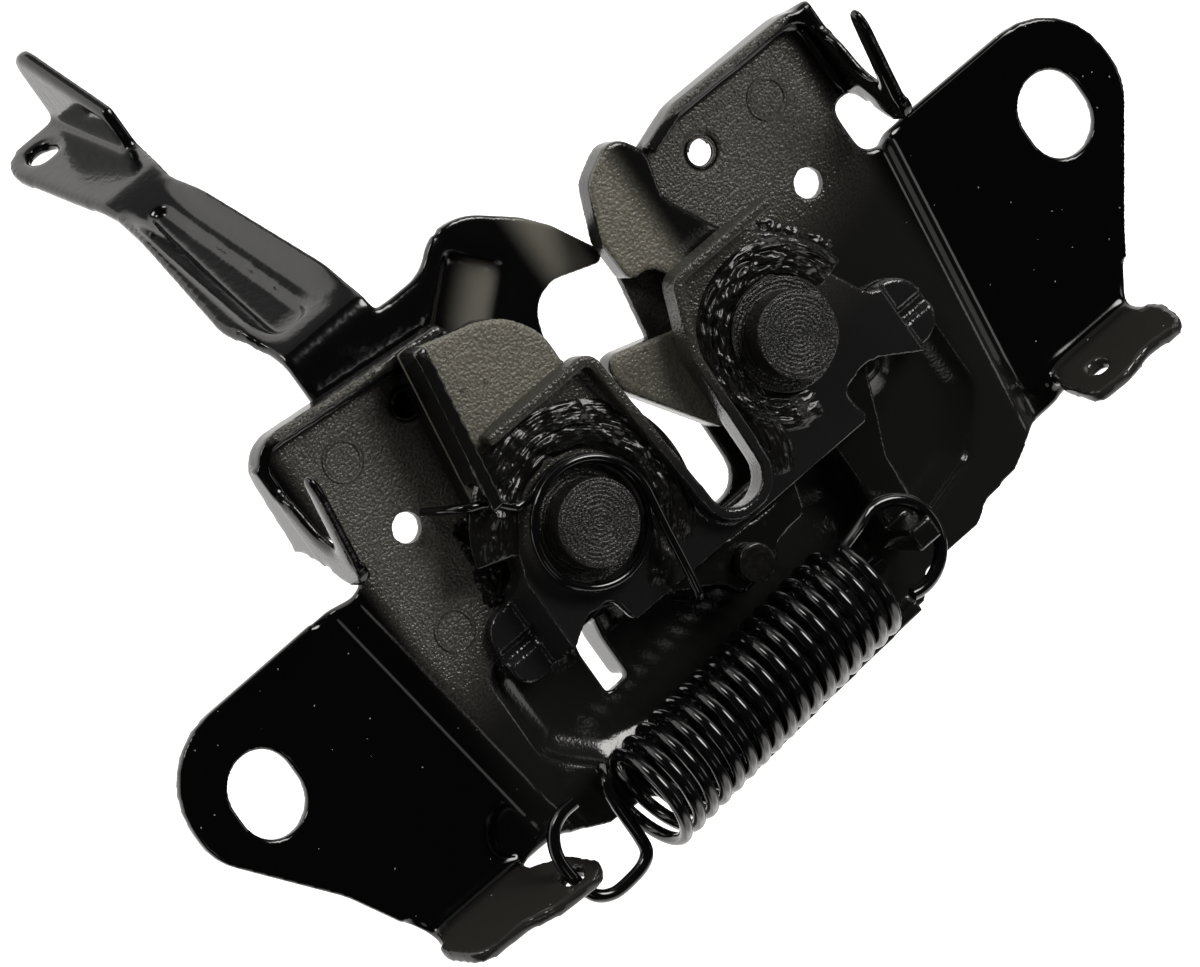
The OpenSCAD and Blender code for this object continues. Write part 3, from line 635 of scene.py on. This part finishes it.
def arc(pivot, radius, start, stop):
    turns = [math.radians(start + (stop - start) * i / 16) for i in range(17)]
    return [(pivot[0] + radius * math.cos(t), pivot[1] + radius * math.sin(t)) for t in turns]


smear("grease_pawl_swirl", COVER_FRONT, arc(PAWL_PIVOT, 13.3, 165, -50), 7.4, 1.5, 7)
smear("grease_pawl_tail", COVER_FRONT, [(-10, -1.5), (-11.5, -6.5), (-16.5, -11.2)], 5.5, 0.8, 9)
smear("grease_catch_ring", COVER_FRONT, arc(CATCH_PIVOT, 10.6, 10, 265), 5.6, 1.5, 3.5)
smear("grease_catch_tail", COVER_FRONT, [(12, 8), (10.4, 2), (9.8, -5), (8, -10.5)], 5.5, 1.0, 5)
smear("grease_drops_left", MID_FRONT, [(-30.5, 13), (-31.5, 6), (-33.5, -1)], 7, 0.7, 0.9, 0.45)
smear("grease_drops_right", MID_FRONT, [(27, 17), (31, 11.5), (35, 6)], 6, 0.6, 0.9, 0.45)

# %% [markdown]
# ## Paint on the base
# The stamping was dipped in black paint. On the flat ears it ran out deep and glossy, with dust caught in it. On the
# raised middle it has an orange skin, and where the light falls on it a brown-grey is painted in as painted light;
# the folded tabs under the ears are painted a lighter brown as painted light too. Two materials would leave a seam
# where they meet, so one material does both, with masks made from the place on the piece. `lit` is the painted
# light: 1 on the plateau and along the rim's front edge, a painted highlight, and it falls to 0 as painted shade in
# the folds, at the rim's foot, under the levers and low down towards the right.

# %% Paint the base
GRAIN, RING_R = 0.4, 2.8
RING_PLACES = ((-40, 29.3), (40, 29.3), (-41, 1.2))
base_paint = Finish("dipped_black_base")
x, z, front = base_paint.x, base_paint.z, 0 - base_paint.y
side = (x ** 2) ** 0.5
ears = base_paint.smooth(side, 45, 49)

top_edge = 33.64 - 0.12 * x + (x > 0) * (4.92 + 0.1 * x)
inward = base_paint.node("ShaderNodeMath", {"operation": "MINIMUM"}, {0: top_edge - z, 1: 52 - side})
plateau = base_paint.smooth(front, 4.3, 4.6) * (1 - base_paint.smooth(front, 5, 5.5))
# painted highlight along the rim's front edge
rim_highlight = base_paint.smooth(front, 7.4, 7.7) * (1 - base_paint.smooth(inward, 0.9, 1.4))
# painted shade under the levers
lever_shade = base_paint.smooth(x, -32, -27) * (1 - base_paint.smooth(x, 6, 12))
# painted shade: darker low down and towards the right
high = base_paint.smooth(z - 0.25 * x, -4, 16)
# painted light and shade in one mask, with painted shade at the rim's foot
lit = high * (plateau * base_paint.smooth(inward, 2.5, 3.6) + rim_highlight) * (1 - 0.8 * lever_shade)

skin = base_paint.noise(GRAIN, 1, 0.4)
grain = base_paint.smooth(skin, 0.38, 0.62)
for place in RING_PLACES:
    off_ring = ((base_paint.around(*place) - RING_R) ** 2) ** 0.5
    skin = skin + 1.1 * (1 - base_paint.smooth(off_ring, 0.1, 0.4))
# painted light: the folded tabs are painted a lighter brown than the ears
tab_light = ears * base_paint.smooth(front, 2.5, 4.5) * (z < -20)
dust = base_paint.specks(2.4, 0.12) * ears
# brown-grey painted light on the lit middle, near black in its painted shade
middle = base_paint.mix(lit * (0.45 + 0.55 * grain), (0.013, 0.013, 0.0125, 1), (0.12, 0.112, 0.095, 1))
# the lighter brown on the tabs is painted light
outer = base_paint.mix(tab_light, (0.0012, 0.0012, 0.0014, 1), (0.03, 0.028, 0.025, 1))
base_paint.set(Base_Color=base_paint.mix(dust, base_paint.mix(ears, middle, outer), (0.4, 0.38, 0.34, 1)), IOR=1.6,
               Roughness=(0.1 + 0.24 * lit) * (1 - 0.5 * ears) + 0.04 * base_paint.noise(6, 2),
               Normal=base_paint.bump(skin * (0.06 + 0.94 * lit) * (1 - 0.9 * ears), 0.33))
for piece in (base, *threads):
    paint(piece, base_paint)
print("painted: base and threads")

# %% [markdown]
# ## Paint on the front plate
# The same dip, painted darker than the base, and a lighter brown towards the top as painted light, with painted shade
# low down. Only its upper half shows the skin.

# %% Paint the front plate
cover_paint = Finish("dipped_black_cover")
# painted light: lighter towards the top, painted shade low down
lit = cover_paint.smooth(cover_paint.z, -2, 16)
skin = cover_paint.noise(GRAIN, 1, 0.4)
cover_paint.set(Base_Color=cover_paint.mix(lit, (0.015, 0.015, 0.0155, 1), (0.045, 0.042, 0.034, 1)), IOR=1.6,
                Roughness=0.1 + 0.18 * lit + 0.06 * cover_paint.noise(9, 2),
                Normal=cover_paint.bump(skin * (0.25 + 0.75 * lit), 0.2))
paint(cover, cover_paint)
print("painted: front plate")

# %% [markdown]
# ## Paint on the levers
# The catch and the pawl are dull and pitted on their front face and black on their edges. Where the light reaches the
# front face it is painted brown-grey as painted light, and left near black as painted shade elsewhere. The front face
# is a thin band of depth, so its mask is made from the depth alone, times a mask for the part that the light reaches.

# %% Paint the levers
def lever_paint(name, reached):
    finish = Finish(name)
    front = 0 - finish.y
    # painted light: the part of the front face that the light reaches
    lit = reached(finish) * finish.smooth(front, 8.9, 9.15) * (1 - finish.smooth(front, 9.5, 9.7))
    skin = finish.noise(0.42, 1, 0.4)
    pits = finish.specks(4, 0.5)
    grain = 0.7 + 0.3 * finish.smooth(skin, 0.38, 0.62)
    # brown-grey painted light on the lit face, near black as painted shade elsewhere
    lit_face = finish.mix(lit * grain, (0.006, 0.006, 0.0056, 1), (0.235, 0.22, 0.175, 1))
    finish.set(Base_Color=finish.mix(pits * 0.4, lit_face, (0.02, 0.019, 0.016, 1)), IOR=1.6,
               Roughness=0.16 + 0.24 * lit + 0.05 * finish.noise(5),
               Normal=finish.bump((skin - pits * 0.3) * (0.15 + 0.85 * lit), 0.24))
    return finish


def catch_light(finish):
    # painted shade: darker to the right of x 12 and low down
    return (1 - finish.smooth(finish.x, 12, 17)) * (0.6 + 0.4 * finish.smooth(finish.z, 13, 18))


paint(catch, lever_paint("dull_black_catch", catch_light))
# painted shade on the pawl below z 8 to 14
paint(pawl, lever_paint("dull_black_pawl", lambda finish: finish.smooth(finish.z, 8, 14)))
print("painted: catch and pawl")

# %% [markdown]
# ## Paint on the safety lever
# A smooth, glossy black that takes its shape from reflections. Two places carry painted highlights: a band across the
# hook's tip, and the channel's wall that faces the light.

# %% Paint the safety lever
strip_paint = Finish("gloss_black_strip")
x, y, z = strip_paint.x, strip_paint.y, strip_paint.z
# painted highlight across the hook's tip
tip_highlight = strip_paint.smooth(x, -2, 3) * (1 - strip_paint.smooth(x, 4, 8))
floor_of_channel = SAFETY_FRONT + CHANNEL_DEPTH
sunk = strip_paint.smooth(y, floor_of_channel - 1.4, floor_of_channel - 0.2) * (1 - strip_paint.smooth(y, -0.4, -0.1))
sideways = (x - channel_top.x) * channel_across.x + (z - channel_top.z) * channel_across.z
# painted highlight on the channel's wall that faces the light
wall_highlight = strip_paint.smooth(0 - sideways, -3, 2.6) * strip_paint.smooth(x, -20, -12)
lit = tip_highlight + sunk * wall_highlight
strip_paint.set(Base_Color=strip_paint.mix(lit, (0.002, 0.002, 0.0026, 1), (0.22, 0.207, 0.176, 1)), IOR=1.65,
                Roughness=0.1 + 0.08 * strip_paint.noise(7, 3),
                Normal=strip_paint.bump(strip_paint.noise(1.1, 1), 0.03))
paint(safety, strip_paint)
print("painted: safety lever")

# %% [markdown]
# ## Paint on the wire and the rivets
# Spring wire is drawn smooth, so its paint is like glass. The rivet heads were spun over: rings run round each pivot,
# bent a little by a noise so that they don't look turned on a lathe.

# %% Paint the wire and the rivets
wire_paint = Finish("gloss_black_wire")
wire_paint.set(Base_Color=(0.003, 0.003, 0.0035, 1), Roughness=0.07 + 0.06 * wire_paint.noise(2), IOR=1.65,
               Normal=wire_paint.bump(wire_paint.noise(0.7, 1), 0.008))
for piece in (main_spring, pawl_spring, safety_spring):
    paint(piece, wire_paint)

RING_STEP = 0.62


def rivet_paint(name, pivot):
    finish = Finish(name)
    turned = finish.around(*pivot) * (2 * math.pi / RING_STEP) + 7 * finish.noise(2.5)
    rings = finish.node("ShaderNodeMath", {"operation": "SINE"}, {0: turned})
    grain = finish.noise(0.28, 2)
    finish.set(Base_Color=(0.012, 0.0114, 0.0095, 1), Roughness=0.14 + 0.1 * grain, IOR=1.6,
               Normal=finish.bump(grain + 0.13 * rings, 0.17))
    return finish


catch_rivet_paint = rivet_paint("spun_black_catch_rivet", CATCH_PIVOT)
pawl_rivet_paint = rivet_paint("spun_black_pawl_rivet", PAWL_PIVOT)
for node, piece in small.items():
    paint(piece, catch_rivet_paint if node.startswith("catch") else pawl_rivet_paint)
print("painted: wire and rivets")

# %% [markdown]
# ## Grease and shims
# Old grease is nearly black and wet. It covers the pawl's stud as well as the smears. The shims between the levers
# are bare steel, and are left as the frame's own solids.

# %% Finish the grease and the shims
grease_finish = Finish("dark_grease")
grain = grease_finish.noise(0.9, 1)
grease_finish.set(Base_Color=(0.006, 0.0058, 0.005, 1), Roughness=0.17 + 0.15 * grain, IOR=1.55,
                  Normal=grease_finish.bump(grain, 0.1))
for piece in (*smears, small["pawl_stud"]):
    paint(piece, grease_finish)

shim_finish = Finish("bright_shim")
shim_finish.set(Base_Color=(0.35, 0.34, 0.32, 1), Metallic=0.9, Roughness=0.3 + 0.15 * shim_finish.noise(1.5))
for name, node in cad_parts.items():
    if name.endswith("washer") and name not in small:
        paint(node, shim_finish)
print("painted: grease and shims")

# %% [markdown]
# ## The white tent
# A glossy black part shows only what stands round it. So the tent is white on every side and from below, and has one
# wide dark opening towards the lens: faces turned to the lens stay black, walls turned away shine. Two smaller dark
# patches keep the ramp and the right-hand walls from washing out, and soft lamps behind the cloth draw the lit
# edges. The floor stands far back, so that the steps beside the ears don't mirror it.

# %% Light the tent
FLOOR_SIZE, FLOOR_PLACE = 2.2, (0.4, 1.85, -0.3)
bpy.ops.mesh.primitive_plane_add(size=FLOOR_SIZE, location=FLOOR_PLACE)
floor = bpy.context.object
floor.name = "floor"
floor_finish = Finish("pale_floor")
floor_finish.set(Base_Color=(0.8, 0.8, 0.8, 1), Roughness=0.9, Emission_Color=(1, 1, 1, 1), Emission_Strength=0.8)
paint(floor, floor_finish)

scene = bpy.context.scene
scene.view_settings.view_transform = "Standard"
world = bpy.data.worlds.new("white_tent")
scene.world = world
world.use_nodes = True
tent = Nodes(world.node_tree)
looking = tent.node("ShaderNodeTexCoord", output="Generated")


def spot(right, up, near, edge, core):
    """1 inside a round patch of the tent, given in the picture's right, up and near, fading to 0 at its edge."""
    way = (right * picture_right + up * picture_up + near * to_lens).normalized()
    nearness = tent.node("ShaderNodeVectorMath", {"operation": "DOT_PRODUCT"}, {0: looking, 1: way}, output="Value")
    return tent.smooth(nearness, math.cos(math.radians(edge)), math.cos(math.radians(core)))


opening = spot(0.45, -0.25, 0.85, 98, 76)
right_patch = spot(0.65, 0.35, -0.67, 42, 26)
upper_patch = spot(-0.33, 0.93, 0.14, 28, 14)
glow = (1.35 - 1.33 * opening) * (1 - 0.85 * upper_patch) * (1 - 0.95 * right_patch)
LAMPS = (  # strength, then the patch: right, up, near, edge and core in degrees
    (10, 0.55, 0.62, 0.56, 16, 8), (7, -0.55, 0.45, 0.7, 11, 6), (1.3, 0.6, -0.75, -0.3, 42, 24),
    (1.2, 0.95, 0.25, 0.05, 12, 6), (0.7, 0.25, -0.6, 0.76, 11, 6))
for strength, *patch in LAMPS:
    glow = glow + strength * spot(*patch)
cloth = tent.node("ShaderNodeVectorMath", {"operation": "SCALE"}, {0: (1, 0.985, 0.955), "Scale": glow})
background = world.node_tree.nodes["Background"]
world.node_tree.links.new(cloth.socket, background.inputs["Color"])
background.inputs["Strength"].default_value = 1
print("tent lit, lamps:", len(LAMPS))
